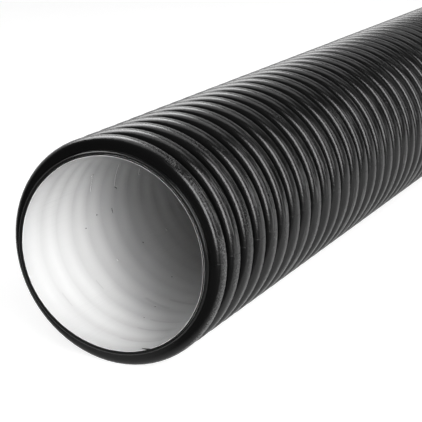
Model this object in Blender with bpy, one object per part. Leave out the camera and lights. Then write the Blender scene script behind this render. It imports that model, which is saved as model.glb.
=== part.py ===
# A one metre length of twin-wall corrugated drainage pipe, lying on its side along X.
# The corrugated outer wall is blown into ring moulds, so its ribs are hollow and stand square to the axis.
# The smooth liner runs inside it and is welded to it at the floor of each groove.
# Both ends are sawn square through a groove, so that a strip of its floor is left beyond the last rib.

import math

import bmesh
import bpy

OUTSIDE_DIAMETER = 0.200  # over the crests of the ribs
RIB_DEPTH = 0.0112  # from a crest down to the floor of the groove
CREST_WIDTH = 0.0116  # flat top of a rib, along the axis
GROOVE_FLOOR_WIDTH = 0.00804  # flat floor of a groove, along the axis
FLANK_DRAFT = 0.0030  # how far a rib's side leans along the axis, in place of its rounded shoulder
RIB_WALL = 0.0013  # the corrugated wall on a rib's crest and sides
LAND_WALL = 0.0016  # the same wall at a groove floor, where the melt gathers against the liner
LINER_WALL = 0.0011
WELD_GAP = 0.0003  # between groove floor and liner, which are one melt on the real pipe
RIB_COUNT = 39  # whole ribs: the saw always runs in a groove
SAW_LEAD = 0.0046  # groove floor left in front of the first rib
SIDES = 20  # facets around each wall, with one flat at the very bottom

RIB_PITCH = CREST_WIDTH + 2 * FLANK_DRAFT + GROOVE_FLOOR_WIDTH
PIPE_LENGTH = RIB_COUNT * RIB_PITCH
CREST_RADIUS = OUTSIDE_DIAMETER / 2
FLOOR_RADIUS = CREST_RADIUS - RIB_DEPTH
WELD_RADIUS = FLOOR_RADIUS - LAND_WALL
LINER_RADIUS = WELD_RADIUS - WELD_GAP
BORE_RADIUS = LINER_RADIUS - LINER_WALL

HALF_FACET = math.pi / SIDES
SMOOTH_BELOW = math.radians(40)  # under the angle of a rib's edges, over the angle between facets


def clear_scene():
    for old in list(bpy.data.objects):
        bpy.data.objects.remove(old, do_unlink=True)


def plastic(name, colour, roughness):
    material = bpy.data.materials.new(name)
    material.use_nodes = True
    shader = material.node_tree.nodes["Principled BSDF"]
    shader.inputs["Base Color"].default_value = (*colour, 1)
    shader.inputs["Roughness"].default_value = roughness
    shader.inputs["Metallic"].default_value = 0
    return material


def half_width(radius, wall):
    # Half a rib's width at a radius: on its outside, where wall is 0, or a wall's thickness further in.
    # The inner flank is parallel to the outer one, so the wall is as thick there as on the crest.
    lean = FLANK_DRAFT / RIB_DEPTH
    return CREST_WIDTH / 2 + lean * (CREST_RADIUS - radius) - wall * math.hypot(1, lean)


def rib_points(centre, wall, top, foot):
    # One rib's four corners, from its front foot to its rear foot.
    half_top = half_width(top, wall)
    half_foot = half_width(foot, wall)
    return [
        (centre - half_foot, foot),
        (centre - half_top, top),
        (centre + half_top, top),
        (centre + half_foot, foot),
    ]


def outer_wall_section():
    # The closed outline of the corrugated wall's section: out along its ribs and back inside them.
    front = -PIPE_LENGTH / 2
    first_centre = front + SAW_LEAD + FLANK_DRAFT + CREST_WIDTH / 2
    outside = [(front, FLOOR_RADIUS)]
    inside = [(front, WELD_RADIUS)]
    for rib in range(RIB_COUNT):
        centre = first_centre + rib * RIB_PITCH
        outside += rib_points(centre, 0, CREST_RADIUS, FLOOR_RADIUS)
        inside += rib_points(centre, RIB_WALL, CREST_RADIUS - RIB_WALL, WELD_RADIUS)
    outside.append((-front, FLOOR_RADIUS))
    inside.append((-front, WELD_RADIUS))
    return outside + inside[::-1]


def liner_section():
    half = PIPE_LENGTH / 2
    return [(-half, LINER_RADIUS), (half, LINER_RADIUS), (half, BORE_RADIUS), (-half, BORE_RADIUS)]


def turned(name, section, material):
    # Spins a closed section of (along, radius) points about X.
    # The facets lie on the true circle at their middles, so each wall keeps its diameter over the flats.
    mesh = bpy.data.meshes.new(name)
    bm = bmesh.new()
    across = math.sin(HALF_FACET) / math.cos(HALF_FACET)
    corners = [bm.verts.new((along, radius * across, -radius)) for along, radius in section]
    edges = [bm.edges.new((a, b)) for a, b in zip(corners, corners[1:] + corners[:1])]
    bmesh.ops.spin(
        bm,
        geom=corners + edges,
        axis=(1, 0, 0),
        cent=(0, 0, 0),
        steps=SIDES,
        angle=2 * math.pi,
        use_merge=True,
    )
    bmesh.ops.recalc_face_normals(bm, faces=bm.faces)
    bm.to_mesh(mesh)
    bm.free()
    mesh.shade_smooth()
    mesh.set_sharp_from_angle(angle=SMOOTH_BELOW)
    mesh.materials.append(material)
    wall = bpy.data.objects.new(name, mesh)
    wall.location.z = CREST_RADIUS
    bpy.context.scene.collection.objects.link(wall)
    return wall


clear_scene()
black = plastic("black_polyethylene", (0.008, 0.008, 0.008), 0.4)
pale = plastic("pale_polyethylene", (0.72, 0.72, 0.72), 0.4)
turned("corrugated_outer_wall", outer_wall_section(), black)
turned("smooth_liner", liner_section(), pale)
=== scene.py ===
import math
import bpy
from mathutils import Matrix, Vector


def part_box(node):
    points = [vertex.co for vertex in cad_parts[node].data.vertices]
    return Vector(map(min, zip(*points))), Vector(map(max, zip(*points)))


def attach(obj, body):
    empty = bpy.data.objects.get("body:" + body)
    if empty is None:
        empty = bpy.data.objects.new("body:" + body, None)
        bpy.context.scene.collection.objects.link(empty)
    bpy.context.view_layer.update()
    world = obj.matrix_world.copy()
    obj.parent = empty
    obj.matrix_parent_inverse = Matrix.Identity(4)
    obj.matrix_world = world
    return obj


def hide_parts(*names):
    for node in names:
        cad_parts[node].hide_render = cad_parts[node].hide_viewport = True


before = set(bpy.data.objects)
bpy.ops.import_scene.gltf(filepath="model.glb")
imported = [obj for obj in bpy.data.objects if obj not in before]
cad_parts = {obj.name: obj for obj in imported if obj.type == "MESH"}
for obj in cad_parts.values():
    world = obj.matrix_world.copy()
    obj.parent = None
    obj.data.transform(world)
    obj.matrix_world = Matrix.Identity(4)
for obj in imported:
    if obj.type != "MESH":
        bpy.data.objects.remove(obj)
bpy.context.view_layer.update()  # one body, "root": the pipe has no joints

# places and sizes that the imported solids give, in metres
wallLow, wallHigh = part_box("corrugated_outer_wall")
linerLow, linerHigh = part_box("smooth_liner")
mouthX = wallLow.x
pipeLength = wallHigh.x - wallLow.x
farEnd = mouthX + pipeLength
axisHeight = (wallHigh.z + wallLow.z) / 2
crestRadius = (wallHigh.z - wallLow.z) / 2
linerRadius = (linerHigh.z - linerLow.z) / 2


# short ways to write nodes

def feed(tree, socket, value):
    # a socket takes a link from another node, or a fixed value
    if isinstance(value, bpy.types.NodeSocket):
        tree.links.new(value, socket)
    elif value is not None:
        socket.default_value = value


def addNode(tree, kind, ins=None, **settings):
    node = tree.nodes.new(kind)
    for key, value in settings.items():
        setattr(node, key, value)
    for key, value in (ins or {}).items():
        feed(tree, node.inputs[key], value)
    return node


def maths(tree, operation, *values):
    node = addNode(tree, "ShaderNodeMath", operation=operation)
    for socket, value in zip(node.inputs, values):
        feed(tree, socket, value)
    return node.outputs[0]


def plus(tree, a, b):
    return maths(tree, "ADD", a, b)


def minus(tree, a, b):
    return maths(tree, "SUBTRACT", a, b)


def times(tree, a, b):
    return maths(tree, "MULTIPLY", a, b)


def larger(tree, a, b):
    return maths(tree, "MAXIMUM", a, b)


def centred(tree, level, size):
    # a level from 0 to 1 becomes a push both ways
    return times(tree, minus(tree, level, 0.5), size)


def vectorMaths(tree, operation, *values, scale=None):
    node = addNode(tree, "ShaderNodeVectorMath", operation=operation)
    for socket, value in zip(node.inputs, values):
        feed(tree, socket, value)
    if scale is not None:
        feed(tree, node.inputs["Scale"], scale)
    return node.outputs["Value" if operation in ("LENGTH", "DOT_PRODUCT") else "Vector"]


def vectorOf(tree, **parts):
    return addNode(tree, "ShaderNodeCombineXYZ", parts).outputs[0]


def partsOf(tree, vector):
    return addNode(tree, "ShaderNodeSeparateXYZ", {"Vector": vector}).outputs


def turnOf(tree, vector):
    # the turn round the pipe, from the top towards -Y
    parts = partsOf(tree, vector)
    return maths(tree, "ARCTAN2", times(tree, parts["Y"], -1), parts["Z"])


def ramp(tree, value, start, end, low=0.0, high=1.0, soft=False):
    return addNode(tree, "ShaderNodeMapRange", {
        "Value": value,
        "From Min": start,
        "From Max": end,
        "To Min": low,
        "To Max": high,
    }, interpolation_type="SMOOTHSTEP" if soft else "LINEAR").outputs[0]


def noise(tree, vector, scale, detail, roughness=None):
    return addNode(tree, "ShaderNodeTexNoise", {
        "Vector": vector,
        "Scale": scale,
        "Detail": detail,
        "Roughness": roughness,
    }).outputs[0]


def newTree(name, kind, inputs, outputs):
    # a group with named sockets: the tree, what goes into it, and where its results go
    tree = bpy.data.node_groups.new(name, kind)
    for label, socketType, default in inputs:
        socket = tree.interface.new_socket(label, in_out="INPUT", socket_type="NodeSocket" + socketType)
        if default is not None:
            socket.default_value = default
    for label, socketType in outputs:
        tree.interface.new_socket(label, in_out="OUTPUT", socket_type="NodeSocket" + socketType)
    return tree, tree.nodes.new("NodeGroupInput").outputs, tree.nodes.new("NodeGroupOutput").inputs


# sections: what one rib pitch looks like when the pipe is cut lengthwise

ribs = {
    "count": 39,
    "lead": 0.0046,  # groove floor that the saw leaves in front of the first rib
    "foot": 0.0176,  # width of a rib where it stands on the groove floor
    "draft": 0.0005,  # how far a rib's side leans
    "depth": 0.0112,
    "ribWall": 0.0013,
    "landWall": 0.0016,  # the wall at a groove floor
    "footRound": 0.0006,
    "shoulderRound": 0.0070,
    "beadRadius": 0.0015,  # the sawn edge is rolled into a bead
    "beadRise": 0.0008,  # over the groove floor
    "beadSteps": 8,
    "innerLip": 0.0002,
    "rimBend": 0.0009,  # the bead stands out this much more at rimTurn and opposite it, and less between
    "rimTurn": math.radians(75),
}
pitch = pipeLength / ribs["count"]
floorRadius = crestRadius - ribs["depth"]
weldRadius = floorRadius - ribs["landWall"]

arcSteps = {
    "seen": math.radians(16),  # longest turn between two points of an arc
    "hidden": math.radians(46),  # in the hollows under the ribs
    "small": 0.001,  # roundings up to this take steps twice as long
}


def roundedPath(corners, stepAngle=arcSteps["seen"]):
    # (along, radius, rounding) corners, where a rounding becomes an arc of short edges
    path = []
    for i, (along, radius, rounding) in enumerate(corners):
        here = Vector((along, radius))
        if not rounding:
            path.append(here)
            continue
        back = (Vector(corners[i - 1][:2]) - here).normalized()
        onward = (Vector(corners[i + 1][:2]) - here).normalized()
        half = back.angle(onward) / 2
        centre = here + (back + onward).normalized() * (rounding / math.sin(half))
        start = here + back * (rounding / math.tan(half)) - centre
        turn = start.angle_signed(here + onward * (rounding / math.tan(half)) - centre)
        finest = stepAngle if rounding > arcSteps["small"] else 2 * stepAngle
        steps = max(1, math.ceil(abs(turn) / finest))
        path += [centre + Matrix.Rotation(-turn * k / steps, 2) @ start for k in range(steps + 1)]
    return path


def wallPitch():
    # one rib from groove to groove: its outside, and the hollow under it
    front = ribs["lead"]
    rear = front + ribs["foot"]
    outside = roundedPath([
        (0, floorRadius, 0),
        (front, floorRadius, ribs["footRound"]),
        (front + ribs["draft"], crestRadius, ribs["shoulderRound"]),
        (rear - ribs["draft"], crestRadius, ribs["shoulderRound"]),
        (rear, floorRadius, ribs["footRound"]),
        (pitch, floorRadius, 0),
    ])
    hollow = ribs["ribWall"]
    inside = roundedPath([
        (0, weldRadius, 0),
        (front + hollow, weldRadius, 0),
        (front + ribs["draft"] + hollow, crestRadius - hollow, ribs["shoulderRound"] - hollow),
        (rear - ribs["draft"] - hollow, crestRadius - hollow, ribs["shoulderRound"] - hollow),
        (rear - hollow, weldRadius, 0),
        (pitch, weldRadius, 0),
    ], arcSteps["hidden"])
    return outside, inside


linerSizes = {
    "wall": 0.0014,
    "ripple": 0.00022,
    "rippleAt": 0.37,  # where the bore is widest, in pitches
    "rippleSteps": 16,
    "pinch": 0.00005,  # extra dip right over each weld
    "pinchAt": 0.02,  # in pitches, as its width is
    "pinchWidth": 0.06,
    "dents": 0.0008,
    "dentScale": 34.0,
    "cutReach": 0.0006,  # how far the sawn edge is modelled back from the cut
    "lip": 0.0002,
}
boreRadius = linerRadius - linerSizes["wall"]


def linerPitch():
    # the bore swells a little under the front half of each rib and is drawn in at each weld
    outside = [Vector((0, linerRadius)), Vector((pitch, linerRadius))]
    inside = []
    for k in range(linerSizes["rippleSteps"] + 1):
        share = k / linerSizes["rippleSteps"]
        swell = linerSizes["ripple"] * math.cos(2 * math.pi * (share - linerSizes["rippleAt"]))
        toWeld = abs(share - linerSizes["pinchAt"])
        toNextWeld = 1 - share + linerSizes["pinchAt"]
        away = min(toWeld, toNextWeld) / linerSizes["pinchWidth"]
        dip = linerSizes["pinch"] * math.exp(-away * away)
        inside.append(Vector((share * pitch, boreRadius + swell - dip)))
    return outside, inside


def wallCutPath():
    # the sawn face of the black wall: over its bead, across the face and into the hollow
    bead = ribs["beadRadius"]
    steps = ribs["beadSteps"]
    middle = Vector((bead, floorRadius + ribs["beadRise"] - bead))
    first = math.asin(1 - ribs["beadRise"] / bead)
    path = []
    for k in range(steps + 1):
        angle = first + (math.pi - first) * k / steps
        path.append(middle + bead * Vector((math.cos(angle), math.sin(angle))))
    face = roundedPath([
        (path[-1].x, path[-1].y, 0),
        (0, weldRadius, ribs["innerLip"]),
        (path[0].x, weldRadius, 0),
    ])
    return path + face[1:]


def linerCutPath():
    # the liner's sawn edge: square outside, a little rounded at the bore
    reach = linerSizes["cutReach"]
    bore = linerPitch()[1][0].y
    return roundedPath([
        (reach, linerRadius, 0),
        (0, linerRadius, 0),
        (0, bore, linerSizes["lip"]),
        (reach, bore, 0),
    ])


def chainObject(name, chains):
    # open runs of edges, laid in the XY plane with the pipe's axis as X
    points, edges = [], []
    for chain in chains:
        first = len(points)
        points += [(p.x, p.y, 0) for p in chain]
        edges += [(first + k, first + k + 1) for k in range(len(chain) - 1)]
    mesh = bpy.data.meshes.new(name)
    mesh.from_pydata(points, edges, [])
    made = bpy.data.objects.new(name, mesh)
    bpy.context.scene.collection.objects.link(made)
    return made


# Geometry Nodes: the section repeats along the pipe and is swept round its axis

hub = 0.001  # radius of the ring that sections are swept around
mergeWithin = 1e-6


def repeatSection(tree, ins, start):
    line = addNode(tree, "GeometryNodeMeshLine", {
        "Count": ins["Rib Count"],
        "Start Location": start,
        "Offset": vectorOf(tree, X=ins["Rib Pitch"]),
    })
    copies = addNode(tree, "GeometryNodeInstanceOnPoints", {
        "Points": line.outputs[0],
        "Instance": ins["Section"],
    })
    return addNode(tree, "GeometryNodeRealizeInstances", {"Geometry": copies.outputs[0]}).outputs[0]


def finishTree(tree, ins, outs, last):
    real = addNode(tree, "GeometryNodeRealizeInstances", {"Geometry": last.outputs[0]})
    painted = addNode(tree, "GeometryNodeSetMaterial", {
        "Geometry": real.outputs[0],
        "Material": ins["Material"],
    })
    tree.links.new(painted.outputs[0], outs["Geometry"])


def sectionWithCuts(tree, ins):
    # all the ribs in a row, stopped short of both ends to make room for the sawn faces there
    start = vectorOf(tree, X=ins["Front"])
    back = plus(tree, ins["Front"], times(tree, ins["Rib Count"], ins["Rib Pitch"]))
    spot = partsOf(tree, addNode(tree, "GeometryNodeInputPosition").outputs[0])
    kept = addNode(tree, "ShaderNodeClamp", {
        "Value": spot["X"],
        "Min": plus(tree, ins["Front"], ins["Cut Edge"]),
        "Max": minus(tree, back, ins["Cut Edge"]),
    }).outputs[0]
    trimmed = addNode(tree, "GeometryNodeSetPosition", {
        "Geometry": repeatSection(tree, ins, start),
        "Position": vectorOf(tree, X=kept, Y=spot["Y"]),
    })
    cut = addNode(tree, "GeometryNodeObjectInfo", {"Object": ins["Cut Face"]}).outputs["Geometry"]
    nearCut = addNode(tree, "GeometryNodeTransform", {"Geometry": cut, "Translation": start})
    farCut = addNode(tree, "GeometryNodeTransform", {
        "Geometry": cut,
        "Translation": vectorOf(tree, X=back),
        "Scale": (-1, 1, 1),
    })
    joined = addNode(tree, "GeometryNodeJoinGeometry")
    for part in (trimmed, nearCut, farCut):
        tree.links.new(part.outputs[0], joined.inputs[0])
    return addNode(tree, "GeometryNodeMergeByDistance", {
        "Geometry": joined.outputs[0],
        "Distance": mergeWithin,
    }).outputs[0]


def sweptRound(tree, ins, section):
    laid = addNode(tree, "GeometryNodeTransform", {
        "Geometry": section,
        "Translation": (-hub, 0, 0),
        "Rotation": (0, 0, -math.pi / 2),
    })
    profile = addNode(tree, "GeometryNodeMeshToCurve", {"Mesh": laid.outputs[0]})
    ring = addNode(tree, "GeometryNodeCurvePrimitiveCircle", {"Resolution": ins["Sides"], "Radius": hub})
    swept = addNode(tree, "GeometryNodeCurveToMesh", {
        "Curve": ring.outputs[0],
        "Profile Curve": profile.outputs[0],
    })
    return addNode(tree, "GeometryNodeTransform", {
        "Geometry": swept.outputs[0],
        "Rotation": (0, math.pi / 2, 0),
    }).outputs[0]


unevenness = {
    "scale": 16.0,  # noise that makes each rib a little larger or smaller
    "around": 0.05,  # how fast that changes round the pipe, against along it
    "detail": 1.0,
    "dentDetail": 2.0,
    "sawScale": 3.2,
    "sawDetail": 4.0,
    "sawDepth": 0.002,  # the saw's waviness fades out at this depth behind a cut
    "rimDepth": (0.0036, 0.0012),  # the bead's bend fades in between these depths behind a cut
}


def lobed(tree, turn, lobes, size, at):
    # a push that is greatest at one turn and comes back a few times round the pipe
    return times(tree, maths(tree, "COSINE", times(tree, minus(tree, turn, at), lobes)), size)


def nearCuts(tree, ins, along, deep, shallow=0.0, soft=False):
    # grows from 0 to 1 between two depths behind each sawn face
    half = times(tree, times(tree, ins["Rib Count"], ins["Rib Pitch"]), 0.5)
    fromMiddle = maths(tree, "ABSOLUTE", minus(tree, along, plus(tree, ins["Front"], half)))
    return ramp(tree, fromMiddle, minus(tree, half, deep), minus(tree, half, shallow), soft=soft)


def outwardPush(tree, ins, place, outward, radius):
    # a real pipe is a little out of round, and uneven from rib to rib
    along = partsOf(tree, place)["X"]
    sideways = partsOf(tree, outward)["Y"]
    fromRib = vectorMaths(tree, "ADD", vectorOf(tree, X=along),
                          vectorMaths(tree, "SCALE", outward, scale=unevenness["around"]))
    uneven = noise(tree, fromRib, unevenness["scale"], unevenness["detail"])
    push = plus(tree, centred(tree, times(tree, sideways, sideways), ins["Ovality"]),
                centred(tree, uneven, ins["Ripple"]))

    # the liner and what it is welded to are bent further out of round than the ribs
    turn = turnOf(tree, outward)
    bend = None
    for lobes in (1, 2, 3):
        lobe = lobed(tree, turn, lobes, ins[f"{lobes} Lobe Size"], ins[f"{lobes} Lobe Turn"])
        bend = plus(tree, bend, lobe) if bend else lobe
    inside = ramp(tree, radius, ins["Bent Below"], ins["Round From"], 1.0, 0.0)
    push = plus(tree, push, times(tree, bend, inside))
    dents = noise(tree, place, ins["Dent Scale"], unevenness["dentDetail"])
    push = plus(tree, push, centred(tree, dents, ins["Dents"]))

    # and the bead at the cut stands out more on two sides
    rim = lobed(tree, turn, 2, ins["Rim Bend"], ins["Rim Turn"])
    nearRim = nearCuts(tree, ins, along, *unevenness["rimDepth"], soft=True)
    onRim = ramp(tree, radius, ins["Bent Below"], ins["Rim Radius"])
    return plus(tree, push, times(tree, times(tree, rim, nearRim), onRim))


def sawDrift(tree, ins, place, outward):
    # a saw cut wanders a little along the pipe
    wander = noise(tree, outward, unevenness["sawScale"], unevenness["sawDetail"])
    atEnd = nearCuts(tree, ins, partsOf(tree, place)["X"], unevenness["sawDepth"])
    return times(tree, centred(tree, wander, ins["Saw Waviness"]), atEnd)


def sweptWallTree():
    tree, ins, outs = newTree("sweptWall", "GeometryNodeTree", [
        ("Section", "Geometry", None),
        ("Rib Count", "Int", 1),
        ("Rib Pitch", "Float", 0.02),
        ("Front", "Float", 0.0),
        ("Cut Face", "Object", None),
        ("Cut Edge", "Float", 0.0005),
        ("Sides", "Int", 96),
        ("Axis Height", "Float", 0.1),
        ("Ovality", "Float", 0.0),
        ("Ripple", "Float", 0.0),
        ("Saw Waviness", "Float", 0.0),
        ("Dents", "Float", 0.0),
        ("Dent Scale", "Float", 40.0),
        ("Rim Bend", "Float", 0.0),
        ("Rim Turn", "Float", 0.0),
        ("Rim Radius", "Float", 0.09),
        ("Bent Below", "Float", 0.09),
        ("Round From", "Float", 0.1),
        *[(f"{lobes} Lobe {what}", "Float", 0.0) for lobes in (1, 2, 3) for what in ("Size", "Turn")],
        ("Material", "Material", None),
    ], [("Geometry", "Geometry")])
    upright = sweptRound(tree, ins, sectionWithCuts(tree, ins))
    place = addNode(tree, "GeometryNodeInputPosition").outputs[0]
    across = vectorMaths(tree, "MULTIPLY", place, (0, 1, 1))
    outward = vectorMaths(tree, "NORMALIZE", across)
    radius = vectorMaths(tree, "LENGTH", across)
    push = outwardPush(tree, ins, place, outward, radius)
    offset = vectorMaths(tree, "ADD", vectorMaths(tree, "SCALE", outward, scale=push),
                         vectorOf(tree, X=sawDrift(tree, ins, place, outward)))
    marked = addNode(tree, "GeometryNodeStoreNamedAttribute", {
        "Geometry": upright,
        "Name": "plainRadius",  # before the wall is bent, for finishes that follow its section
        "Value": radius,
    })
    shaped = addNode(tree, "GeometryNodeSetPosition", {
        "Geometry": marked.outputs[0],
        "Offset": vectorMaths(tree, "ADD", offset, vectorOf(tree, Z=ins["Axis Height"])),
    })
    smooth = addNode(tree, "GeometryNodeSetShadeSmooth", {"Geometry": shaped.outputs[0]})
    finishTree(tree, ins, outs, smooth)
    return tree


seamSizes = {  # turns go from the top towards -Y
    "width": 0.0007,
    "height": 0.00022,
    "topShare": 0.4,  # of the width
    "nearTurn": 87.5,
    "farTurn": -92.5,
}


def seamTree():
    # the two mould halves meet in a fine raised line that climbs over every rib
    tree, ins, outs = newTree("mouldSeam", "GeometryNodeTree", [
        ("Section", "Geometry", None),
        ("Rib Count", "Int", 1),
        ("Rib Pitch", "Float", 0.02),
        ("Front", "Float", 0.0),
        ("Axis Height", "Float", 0.1),
        ("Width", "Float", 0.001),
        ("Height", "Float", 0.0003),
        ("Near Turn", "Float", 0.0),
        ("Far Turn", "Float", 0.0),
        ("Material", "Material", None),
    ], [("Geometry", "Geometry")])
    merged = addNode(tree, "GeometryNodeMergeByDistance", {
        "Geometry": repeatSection(tree, ins, vectorOf(tree, X=ins["Front"])),
        "Distance": mergeWithin,
    })
    path = addNode(tree, "GeometryNodeMeshToCurve", {"Mesh": merged.outputs[0]})
    ridge = addNode(tree, "GeometryNodeCurvePrimitiveQuadrilateral", {
        "Bottom Width": ins["Width"],
        "Top Width": times(tree, ins["Width"], seamSizes["topShare"]),
        "Height": times(tree, ins["Height"], 2),  # the lower half is buried in the wall
        "Offset": 0.0,
    }, mode="TRAPEZOID")
    turned = addNode(tree, "GeometryNodeTransform", {
        "Geometry": ridge.outputs[0],
        "Rotation": (0, 0, math.pi / 2),
    })
    strip = addNode(tree, "GeometryNodeCurveToMesh", {
        "Curve": path.outputs[0],
        "Profile Curve": turned.outputs[0],
        "Fill Caps": True,
    }).outputs[0]
    lift = vectorOf(tree, Z=ins["Axis Height"])
    both = addNode(tree, "GeometryNodeJoinGeometry")
    for turn in ("Near Turn", "Far Turn"):
        placed = addNode(tree, "GeometryNodeTransform", {
            "Geometry": strip,
            "Translation": lift,
            "Rotation": vectorOf(tree, X=ins[turn]),
        })
        tree.links.new(placed.outputs[0], both.inputs[0])
    finishTree(tree, ins, outs, both)
    return tree


def grown(name, guide, tree, values, sharpAbove=None):
    # runs a node tree on a guide and keeps the result as a plain mesh
    modifier = guide.modifiers.new("grow", "NODES")
    modifier.node_group = tree
    for item in tree.interface.items_tree:
        if item.in_out == "INPUT" and item.name in values:
            modifier[item.identifier] = values[item.name]
    evaluated = guide.evaluated_get(bpy.context.evaluated_depsgraph_get())
    mesh = bpy.data.meshes.new_from_object(evaluated)
    mesh.name = name
    guide.modifiers.remove(modifier)
    bpy.data.objects.remove(guide)
    if sharpAbove:
        mesh.set_sharp_from_angle(angle=sharpAbove)
    made = bpy.data.objects.new(name, mesh)
    bpy.context.scene.collection.objects.link(made)
    print(name, len(mesh.vertices), "points", sum(len(p.vertices) - 2 for p in mesh.polygons), "triangles")
    return made


def facesOut(piece):
    # a swept shell can come out inside out: its signed volume tells
    mesh = piece.data
    mesh.calc_loop_triangles()
    volume = 0
    for tri in mesh.loop_triangles:
        a, b, c = (mesh.vertices[v].co for v in tri.vertices)
        volume += a.dot(b.cross(c))
    if volume < 0:
        mesh.flip_normals()
    return piece


# materials

def objectCoordinates(tree):
    return addNode(tree, "ShaderNodeTexCoord").outputs["Object"]


def pipeCoordinatesGroup():
    # along the axis, out from it, and the direction round it, for patterns that follow the pipe
    tree, ins, outs = newTree("pipeCoordinates", "ShaderNodeTree", [
        ("Axis Height", "Float", 0.1),
        ("Front", "Float", -0.5),
    ], [
        ("Along", "Float"),
        ("Radius", "Float"),
        ("Outward", "Vector"),
        ("Turn", "Float"),
    ])
    mouth = vectorOf(tree, X=ins["Front"], Z=ins["Axis Height"])
    place = vectorMaths(tree, "SUBTRACT", objectCoordinates(tree), mouth)
    across = vectorMaths(tree, "MULTIPLY", place, (0, 1, 1))
    tree.links.new(partsOf(tree, place)["X"], outs["Along"])
    tree.links.new(vectorMaths(tree, "LENGTH", across), outs["Radius"])
    tree.links.new(vectorMaths(tree, "NORMALIZE", across), outs["Outward"])
    tree.links.new(turnOf(tree, across), outs["Turn"])
    return tree


markEdge = (0.25, 0.6)  # a mark fades out between these shares of its width


def markGroup():
    # one straight mark on a round wall, such as a scratch or a speck
    tree, ins, outs = newTree("wallMark", "ShaderNodeTree", [
        ("Along", "Float", 0.0),
        ("Turn", "Float", 0.0),
        ("Radius", "Float", 0.1),
        ("Mark Along", "Float", 0.0),
        ("Mark Turn", "Float", 0.0),
        ("Length", "Float", 0.01),
        ("Heading", "Float", 0.0),
        ("Width", "Float", 0.001),
    ], [("Mask", "Float")])
    ahead = minus(tree, ins["Along"], ins["Mark Along"])
    past = maths(tree, "WRAP", minus(tree, ins["Turn"], ins["Mark Turn"]), math.pi, -math.pi)
    roundWall = times(tree, past, ins["Radius"])
    cosine = maths(tree, "COSINE", ins["Heading"])
    sine = maths(tree, "SINE", ins["Heading"])
    lengthwise = plus(tree, times(tree, ahead, cosine), times(tree, roundWall, sine))
    crosswise = minus(tree, times(tree, roundWall, cosine), times(tree, ahead, sine))
    pastTip = minus(tree, maths(tree, "ABSOLUTE", lengthwise), times(tree, ins["Length"], 0.5))
    beyond = larger(tree, pastTip, 0)
    away = vectorMaths(tree, "LENGTH", vectorOf(tree, X=beyond, Y=crosswise))
    inner, outer = (times(tree, ins["Width"], share) for share in markEdge)
    tree.links.new(ramp(tree, away, inner, outer, 1.0, 0.0), outs["Mask"])
    return tree


streakLook = {
    "detail": 3.0,
    "roughness": 0.6,
    "lines": (0.46, 0.72),  # noise levels between which a line fades in
    "patchDetail": 2.0,
    "patchAround": 0.12,  # how fast patches change round the pipe, against along it
    "patchFull": 0.75,  # noise level at which a patch shows its lines in full
}


def streakGroup():
    # fine lines round the pipe or along it, broken up by a slower noise
    tree, ins, outs = newTree("streaks", "ShaderNodeTree", [
        ("Along", "Float", 0.0),
        ("Outward", "Vector", None),
        ("Lines Along", "Float", 900.0),
        ("Lines Around", "Float", 3.0),
        ("Patches", "Float", 12.0),
        ("Cover", "Float", 0.5),
    ], [("Mask", "Float")])

    def stretched(along, around):
        return vectorMaths(tree, "ADD", vectorOf(tree, X=times(tree, ins["Along"], along)),
                           vectorMaths(tree, "SCALE", ins["Outward"], scale=around))

    fine = noise(tree, stretched(ins["Lines Along"], ins["Lines Around"]), 1.0,
                 streakLook["detail"], streakLook["roughness"])
    patchAround = times(tree, ins["Patches"], streakLook["patchAround"])
    slow = noise(tree, stretched(ins["Patches"], patchAround), 1.0, streakLook["patchDetail"])
    lines = ramp(tree, fine, *streakLook["lines"])
    full = streakLook["patchFull"]
    gate = ramp(tree, slow, minus(tree, full, ins["Cover"]), full)
    tree.links.new(times(tree, lines, gate), outs["Mask"])
    return tree


def useGroup(tree, group, ins):
    return addNode(tree, "ShaderNodeGroup", ins, node_tree=group).outputs


def plainMaterial(name, look):
    material = bpy.data.materials.new(name)
    material.use_nodes = True
    surface = material.node_tree.nodes["Principled BSDF"].inputs
    surface["Roughness"].default_value = look["roughness"]
    surface["IOR"].default_value = look["ior"]
    surface["Specular IOR Level"].default_value = look["specular"]
    return material, material.node_tree, surface


def mixColour(tree, share, a, b):
    # a Mix node keeps its two colours in inputs 6 and 7, and gives the mixed one in output 2
    return addNode(tree, "ShaderNodeMix", {0: share, 6: a, 7: b}, data_type="RGBA").outputs[2]


def grey(level):
    return (level, level, level, 1)


sawnDepth = 0.0002


def sawnMask(tree, along):
    # the last fraction of a millimetre at both ends
    return larger(tree, maths(tree, "LESS_THAN", along, sawnDepth),
                  maths(tree, "GREATER_THAN", along, pipeLength - sawnDepth))


blackLook = {
    "colour": 0.0018,
    "scuffColour": 0.12,
    "sawnColour": 0.008,
    "roughness": 0.23,
    "scuffRoughness": 0.2,  # added where it is scuffed
    "sawnRoughness": 0.08,  # added where it is sawn
    "ior": 1.51,
    "specular": 0.5,
    "scuffLines": {"Lines Along": 700.0, "Lines Around": 4.0, "Cover": 0.3},
    "crest": (0.002, 0.0004),  # scuffs fade in between these depths below a crest
    "fineScale": 820.0,  # noise for the specks and for the grain
    "fineDetail": 2.0,
    "specks": (0.48, 0.6),  # noise levels between which they fade in
    "patchScale": 28.0,
    "patchDetail": 3.0,
    "patches": (0.42, 0.6),  # the same for the rubbed patches
    "handled": 0.026,  # the first rib is scuffed most, back to this far behind the mouth
    "handledFull": 0.8,  # share of that way before the scuffs begin to fade
    "otherRibs": 0.22,  # how much of them is left on the other ribs
    "toolLines": (0.552, 0.612),  # fine turned lines on each crest, in pitches
    "toolLineWidth": 0.014,
    "toolLineHeight": 0.00014,
    "grain": 0.00008,
}


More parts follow.
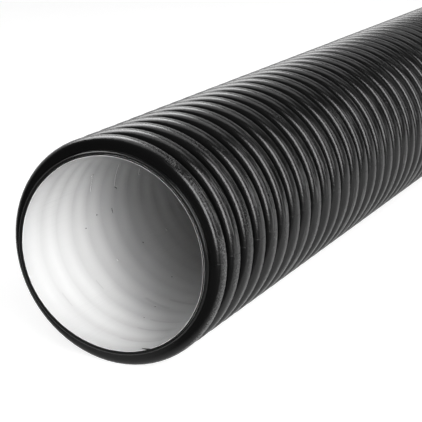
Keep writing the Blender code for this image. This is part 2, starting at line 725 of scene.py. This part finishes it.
def scuffMask(tree, at, streaks, fine):
    # fine lines, and specks in rubbed patches
    lines = useGroup(tree, streaks, {
        "Along": at["Along"],
        "Outward": at["Outward"],
        **blackLook["scuffLines"],
    })["Mask"]
    patches = noise(tree, objectCoordinates(tree), blackLook["patchScale"], blackLook["patchDetail"])
    specks = ramp(tree, fine, *blackLook["specks"])
    rubbed = ramp(tree, patches, *blackLook["patches"])
    handled = blackLook["handled"]
    firstRib = ramp(tree, at["Along"], handled, handled * blackLook["handledFull"], blackLook["otherRibs"])
    return larger(tree, lines, times(tree, times(tree, specks, rubbed), firstRib))


def toolLineMask(tree, at):
    inPitch = maths(tree, "FRACT", times(tree, at["Along"], 1 / pitch))
    lines = None
    for place in blackLook["toolLines"]:
        away = maths(tree, "ABSOLUTE", minus(tree, inPitch, place))
        line = ramp(tree, away, 0.0, blackLook["toolLineWidth"], 1.0, 0.0, soft=True)
        lines = larger(tree, lines, line) if lines else line
    return lines


def blackPolyethylene(coordinates, streaks):
    material, tree, surface = plainMaterial("blackPolyethylene", blackLook)
    at = useGroup(tree, coordinates, {"Axis Height": axisHeight, "Front": mouthX})
    deep, shallow = blackLook["crest"]
    onCrest = ramp(tree, at["Radius"], crestRadius - deep, crestRadius - shallow)
    fine = noise(tree, objectCoordinates(tree), blackLook["fineScale"], blackLook["fineDetail"])
    worn = times(tree, scuffMask(tree, at, streaks, fine), onCrest)
    sawn = sawnMask(tree, at["Along"])
    colour = mixColour(tree, worn, grey(blackLook["colour"]), grey(blackLook["scuffColour"]))
    colour = mixColour(tree, sawn, colour, grey(blackLook["sawnColour"]))
    tree.links.new(colour, surface["Base Color"])
    rough = plus(tree, times(tree, worn, blackLook["scuffRoughness"]), blackLook["roughness"])
    rough = plus(tree, rough, times(tree, sawn, blackLook["sawnRoughness"]))
    tree.links.new(rough, surface["Roughness"])
    raised = times(tree, times(tree, toolLineMask(tree, at), onCrest), blackLook["toolLineHeight"])
    height = plus(tree, raised, times(tree, fine, blackLook["grain"]))
    bump = addNode(tree, "ShaderNodeBump", {"Height": height, "Strength": 1.0, "Distance": 1.0})
    tree.links.new(bump.outputs[0], surface["Normal"])
    return material


linerLook = {
    "colour": 0.72,
    "roughness": 0.42,
    "ior": 1.51,
    "specular": 0.5,
    "dragLines": {"Lines Along": 6.0, "Lines Around": 90.0, "Patches": 9.0, "Cover": 0.3},
    "dragShade": 0.7,  # share of the plain colour
    "dragShare": 0.25,
    "sawnPale": 0.00022,  # pale band of the cut next to the bore; the rest of the cut face is coloured near-black
    "sawnColour": 0.012,
    "markColours": {"light": 0.97, "dark": 0.16},
    "softShare": 0.13,  # of the dark colour, for the broad soft marks
    "markRelief": 0.0004,
    "ragged": 0.0012,  # how far noise pushes the marks' edges along the pipe
    "raggedScale": 700.0,
    "raggedDetail": 2.0,
}

linerMarks = [  # from the mouth, turn from the top towards -Y, length, heading off the axis, width
    ("light", 0.1525, -73, 0.0250, -81, 0.0013),  # a long scratch that ends in a dark hook
    ("dark", 0.1580, -83, 0.0060, -30, 0.0010),
    ("dark", 0.1230, -95, 0.0004, 0, 0.0016),
    ("dark", 0.1510, -97, 0.0040, -80, 0.0013),
    ("dark", 0.1017, -100, 0.0004, 0, 0.0014),
    ("dark", 0.1830, -125, 0.0005, 0, 0.0018),
    ("dark", 0.1740, -156, 0.0005, 0, 0.0014),
    ("dark", 0.1070, -169, 0.0010, 0, 0.0012),
    ("dark", 0.0780, -172, 0.0008, 0, 0.0011),
    ("light", 0.1020, -65, 0.0010, 0, 0.0025),
    ("light", 0.1070, -72, 0.0170, -70, 0.0009),
    ("light", 0.1297, -127, 0.0005, 0, 0.0024),
    ("light", 0.2020, -79, 0.0060, -75, 0.0018),
    ("light", 0.2310, -125, 0.0005, 0, 0.0026),
    ("soft", 0.0304, -133, 0.0130, -90, 0.0022),
    ("soft", 0.0825, -135, 0.0090, -90, 0.0022),
    ("soft", 0.0250, 170, 0.0420, 86, 0.0032),
    ("soft", 0.0547, 173, 0.0300, 88, 0.0036),
    ("soft", 0.0765, 170, 0.0380, 86, 0.0040),
    ("soft", 0.1130, -168, 0.0240, 84, 0.0050),
    ("soft", 0.1300, 179, 0.0260, 88, 0.0060),
]


def markMasks(tree, at, marks):
    # one mask for each kind of mark
    rag = noise(tree, objectCoordinates(tree), linerLook["raggedScale"], linerLook["raggedDetail"])
    along = plus(tree, at["Along"], centred(tree, rag, linerLook["ragged"]))
    masks = {}
    for kind, markAlong, turn, length, heading, width in linerMarks:
        mask = useGroup(tree, marks, {
            "Along": along,
            "Turn": at["Turn"],
            "Radius": boreRadius,
            "Mark Along": markAlong,
            "Mark Turn": math.radians(turn),
            "Length": length,
            "Heading": math.radians(heading),
            "Width": width,
        })["Mask"]
        masks[kind] = larger(tree, masks[kind], mask) if kind in masks else mask
    return masks


def palePolyethylene(coordinates, streaks, marks):
    material, tree, surface = plainMaterial("palePolyethylene", linerLook)
    at = useGroup(tree, coordinates, {"Axis Height": axisHeight, "Front": mouthX})
    drag = useGroup(tree, streaks, {
        "Along": at["Along"],
        "Outward": at["Outward"],
        **linerLook["dragLines"],
    })["Mask"]
    plain = linerLook["colour"]
    colour = mixColour(tree, times(tree, drag, linerLook["dragShare"]),
                       grey(plain), grey(plain * linerLook["dragShade"]))
    masks = markMasks(tree, at, marks)
    colour = mixColour(tree, masks["light"], colour, grey(linerLook["markColours"]["light"]))
    darkened = larger(tree, masks["dark"], times(tree, masks["soft"], linerLook["softShare"]))
    colour = mixColour(tree, darkened, colour, grey(linerLook["markColours"]["dark"]))
    radius = addNode(tree, "ShaderNodeAttribute", attribute_name="plainRadius").outputs["Fac"]
    # beyond the pale band at the bore, the liner's cut face takes the near-black sawn colour
    darkCutFace = maths(tree, "GREATER_THAN", radius, boreRadius + linerLook["sawnPale"])
    darkCutFace = times(tree, sawnMask(tree, at["Along"]), darkCutFace)
    colour = mixColour(tree, darkCutFace, colour, grey(linerLook["sawnColour"]))
    tree.links.new(colour, surface["Base Color"])
    bump = addNode(tree, "ShaderNodeBump", {
        "Height": minus(tree, masks["light"], masks["dark"]),
        "Strength": 1.0,
        "Distance": linerLook["markRelief"],
    })
    tree.links.new(bump.outputs[0], surface["Normal"])
    return material


# pieces

coordinates = pipeCoordinatesGroup()
streaks = streakGroup()
black = blackPolyethylene(coordinates, streaks)
pale = palePolyethylene(coordinates, streaks, markGroup())

shared = {
    "Rib Count": ribs["count"],
    "Rib Pitch": pitch,
    "Front": mouthX,
    "Axis Height": axisHeight,
}
bendFade = 0.003  # the liner's bend has died out this far above the groove floor
shape = {  # turns go from the top towards -Y
    "Sides": 72,
    "Ovality": 0.0004,
    "Ripple": 0.0003,
    "Saw Waviness": 0.0004,
    "Bent Below": weldRadius,
    "Round From": floorRadius + bendFade,
    "1 Lobe Size": 0.0004,
    "1 Lobe Turn": math.radians(69),
    "2 Lobe Size": 0.00087,
    "2 Lobe Turn": math.radians(82),
    "3 Lobe Size": 0.00057,
    "3 Lobe Turn": math.radians(13),
}
edgeAngle = math.radians(32)  # edges that turn more than this stay sharp
sweep = sweptWallTree()

wallCut = chainObject("wallCut", [wallCutPath()])
wall = facesOut(grown("corrugatedWall", chainObject("wallSection", wallPitch()), sweep, {
    **shared,
    **shape,
    "Rim Bend": ribs["rimBend"],
    "Rim Turn": ribs["rimTurn"],
    "Rim Radius": floorRadius,
    "Cut Face": wallCut,
    "Cut Edge": wallCutPath()[0].x,
    "Material": black,
}, edgeAngle))
bpy.data.objects.remove(wallCut)
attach(wall, "root")
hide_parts("corrugated_outer_wall")
print("corrugated wall done")

linerCut = chainObject("linerCut", [linerCutPath()])
liner = facesOut(grown("linerTube", chainObject("linerSection", linerPitch()), sweep, {
    **shared,
    **shape,
    "Dents": linerSizes["dents"],
    "Dent Scale": linerSizes["dentScale"],
    "Cut Face": linerCut,
    "Cut Edge": linerSizes["cutReach"],
    "Material": pale,
}, edgeAngle))
bpy.data.objects.remove(linerCut)
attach(liner, "root")
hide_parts("smooth_liner")
print("liner done")

seam = facesOut(grown("mouldSeam", chainObject("seamSection", wallPitch()[:1]), seamTree(), {
    **shared,
    "Width": seamSizes["width"],
    "Height": seamSizes["height"],
    "Near Turn": math.radians(90 + seamSizes["nearTurn"]),
    "Far Turn": math.radians(90 + seamSizes["farTurn"]),
    "Material": black,
}))
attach(seam, "root")
print("mould seam done")

burrSizes = {  # a shaving that the saw left hanging from the mouth's edge
    "turns": (149, 158.5),
    "radii": (0.0870, 0.0822),
    "droop": 1.5,  # over 1, it leaves the edge late
    "inside": 0.0006,  # where it starts, behind the sawn face
    "curl": 0.0022,  # how far it leans out of the mouth
    "width": 0.0020,
    "thickness": 0.0009,
    "thinning": 0.8,  # share of its width and thickness that is gone at the tip
    "thinningPower": 3,
    "steps": 9,
    "edgeAngle": math.radians(40),
}


def sawBurr(name):
    firstTurn, lastTurn = burrSizes["turns"]
    firstRadius, lastRadius = burrSizes["radii"]
    points, faces = [], []
    for k in range(burrSizes["steps"] + 1):
        share = k / burrSizes["steps"]
        turn = math.radians(firstTurn + share * (lastTurn - firstTurn))
        radius = firstRadius + share ** burrSizes["droop"] * (lastRadius - firstRadius)
        outward = Vector((0, -math.sin(turn), math.cos(turn)))
        along = mouthX + burrSizes["inside"] - share * burrSizes["curl"]
        middle = outward * radius + Vector((along, 0, axisHeight))
        left = 1 - burrSizes["thinning"] * share ** burrSizes["thinningPower"]
        across = Vector((burrSizes["width"] / 2 * left, 0, 0))
        through = outward * (burrSizes["thickness"] / 2 * left)
        points += [middle - across - through, middle + across - through]
        points += [middle + across + through, middle - across + through]
        if k:
            here, back = 4 * k, 4 * k - 4
            corners = [(a, (a + 1) % 4) for a in range(4)]
            faces += [(back + a, back + b, here + b, here + a) for a, b in corners]
    faces += [(3, 2, 1, 0), tuple(4 * burrSizes["steps"] + a for a in range(4))]
    mesh = bpy.data.meshes.new(name)
    mesh.from_pydata(points, [], faces)
    mesh.materials.append(black)
    mesh.shade_smooth()
    mesh.set_sharp_from_angle(angle=burrSizes["edgeAngle"])
    made = bpy.data.objects.new(name, mesh)
    bpy.context.scene.collection.objects.link(made)
    return facesOut(made)


burr = sawBurr("sawBurr")
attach(burr, "root")
print("burr done")


# floor, light and camera

floorLook = {  # reflections and bounced light see a floor that is darker in front of the mouth
    "reach": 12.0,
    "colour": 0.33,
    "roughness": 0.9,
    "ior": 1.45,
    "specular": 0.2,
    "glow": 0.84,  # seen by the camera, and lights nothing
    "mirroredGlow": 0.42,  # the same in reflections
    "front": -0.02,  # how far the pale part reaches in front of the mouth; behind it if negative
    "softness": 0.07,
    "dark": 0.10,  # share of the pale part's brightness
}


def mirroredRays(tree):
    path = addNode(tree, "ShaderNodeLightPath").outputs
    return larger(tree, path["Is Glossy Ray"], path["Is Transmission Ray"])


def cameraRays(tree):
    return addNode(tree, "ShaderNodeLightPath").outputs["Is Camera Ray"]


def addFloor():
    mesh = bpy.data.meshes.new("floor")
    reach = floorLook["reach"]
    corners = [(-reach, -reach, 0), (reach, -reach, 0), (reach, reach, 0), (-reach, reach, 0)]
    mesh.from_pydata(corners, [], [(0, 1, 2, 3)])
    floor = bpy.data.objects.new("floor", mesh)
    bpy.context.scene.collection.objects.link(floor)
    material, tree, surface = plainMaterial("paleFloor", floorLook)
    along = partsOf(tree, objectCoordinates(tree))["X"]
    edge = mouthX - floorLook["front"]
    white = ramp(tree, along, edge - floorLook["softness"], edge, floorLook["dark"], soft=True)
    seen = cameraRays(tree)
    white = larger(tree, white, seen)
    tree.links.new(mixColour(tree, white, grey(0), grey(floorLook["colour"])), surface["Base Color"])
    surface["Emission Color"].default_value = grey(1)
    glow = larger(tree, times(tree, seen, floorLook["glow"]),
                  times(tree, mirroredRays(tree), floorLook["mirroredGlow"]))
    tree.links.new(times(tree, glow, white), surface["Emission Strength"])
    mesh.materials.append(material)


lamps = {  # places and aims are taken from the mouth, or from the far end where "end" says so
    "key": {"place": (-1.00, -1.40, 0.95), "size": (0.7, 2.04), "radiance": 8.3},
    "side": {"place": (0.42, -1.72, 1.00), "size": (0.55, 1.5), "radiance": 3.0},
    "overhead": {"place": (0.6, 0.3, 2.4), "size": (2.4, 1.6), "radiance": 1.2},
    "window": {
        "place": (1.9, 2.7, 3.6),
        "size": (4.4, 2.2),
        "radiance": 6.6,
        "seenIn": "glossy",
    },
    "boreFill": {
        "place": (-1.17, -1.12, 0.69),
        "size": (0.8, 1.0),
        "radiance": 9.8,
        "seenIn": "diffuse",
    },
    "farFill": {
        "place": (1.1, -0.6, 0.95),
        "size": (1.0, 1.0),
        "radiance": 6.0,
        "seenIn": "diffuse",
        "end": farEnd,
        "aim": -0.25,
    },
}


def addLamp(name, place, size, radiance, seenIn="both", end=mouthX, aim=0.25):
    lamp = bpy.data.lights.new(name, "AREA")
    lamp.shape = "RECTANGLE"
    lamp.size, lamp.size_y = size
    lamp.energy = radiance * math.pi * size[0] * size[1]
    made = bpy.data.objects.new(name, lamp)
    spot = Vector((end + place[0], place[1], place[2]))
    target = Vector((end + aim, 0, axisHeight))
    made.location = spot
    made.rotation_euler = (target - spot).to_track_quat("-Z", "Y").to_euler()
    made.visible_diffuse = seenIn != "glossy"
    made.visible_glossy = seenIn != "diffuse"
    bpy.context.scene.collection.objects.link(made)


roomLook = {
    "daylight": 0.06,
    "seen": 0.9,  # by the camera
    "mirrored": 0.8,  # the bright backdrop, which only reflections see
    "backdropTurn": math.radians(50),  # from +X towards +Y
    "backdropEdge": (0.5, 0.98),  # cosines of the angles off its middle where it fades in
}


def addWorld():
    # a dim room that is pale to the camera, with a bright backdrop on one side in reflections
    world = bpy.data.worlds.new("studio")
    bpy.context.scene.world = world
    world.use_nodes = True
    tree = world.node_tree
    tree.nodes.clear()
    direction = addNode(tree, "ShaderNodeTexCoord").outputs["Generated"]
    towards = (math.cos(roomLook["backdropTurn"]), math.sin(roomLook["backdropTurn"]), 0)
    facing = vectorMaths(tree, "DOT_PRODUCT", direction, towards)
    backdrop = ramp(tree, facing, *roomLook["backdropEdge"], soft=True)
    mirrored = times(tree, mirroredRays(tree), roomLook["mirrored"])
    strength = larger(tree, times(tree, backdrop, mirrored), roomLook["daylight"])
    strength = larger(tree, strength, times(tree, cameraRays(tree), roomLook["seen"]))
    back = addNode(tree, "ShaderNodeBackground", {"Color": grey(1), "Strength": strength})
    out = tree.nodes.new("ShaderNodeOutputWorld")
    tree.links.new(back.outputs[0], out.inputs["Surface"])


viewing = {  # from the photo's perspective
    "back": 0.92614,  # in front of the mouth, along the axis
    "aside": -0.55045,
    "above": 0.34667,  # over the axis
    "turn": -63.752,
    "tilt": 16.006,
    "lens": 115.845,
    "sensor": 36.0,
    "nearest": 0.05,
}


def addCamera():
    camera = bpy.data.cameras.new("camera")
    camera.lens = viewing["lens"]
    camera.sensor_width = viewing["sensor"]
    camera.clip_start = viewing["nearest"]
    made = bpy.data.objects.new("camera", camera)
    made.location = (mouthX - viewing["back"], viewing["aside"], axisHeight + viewing["above"])
    made.rotation_euler = (math.radians(90 - viewing["tilt"]), 0, math.radians(viewing["turn"]))
    bpy.context.scene.collection.objects.link(made)
    bpy.context.scene.camera = made


addFloor()
for name, settings in lamps.items():
    addLamp(name, **settings)
addWorld()
addCamera()
bpy.context.scene.view_settings.view_transform = "Standard"
print("stage done")
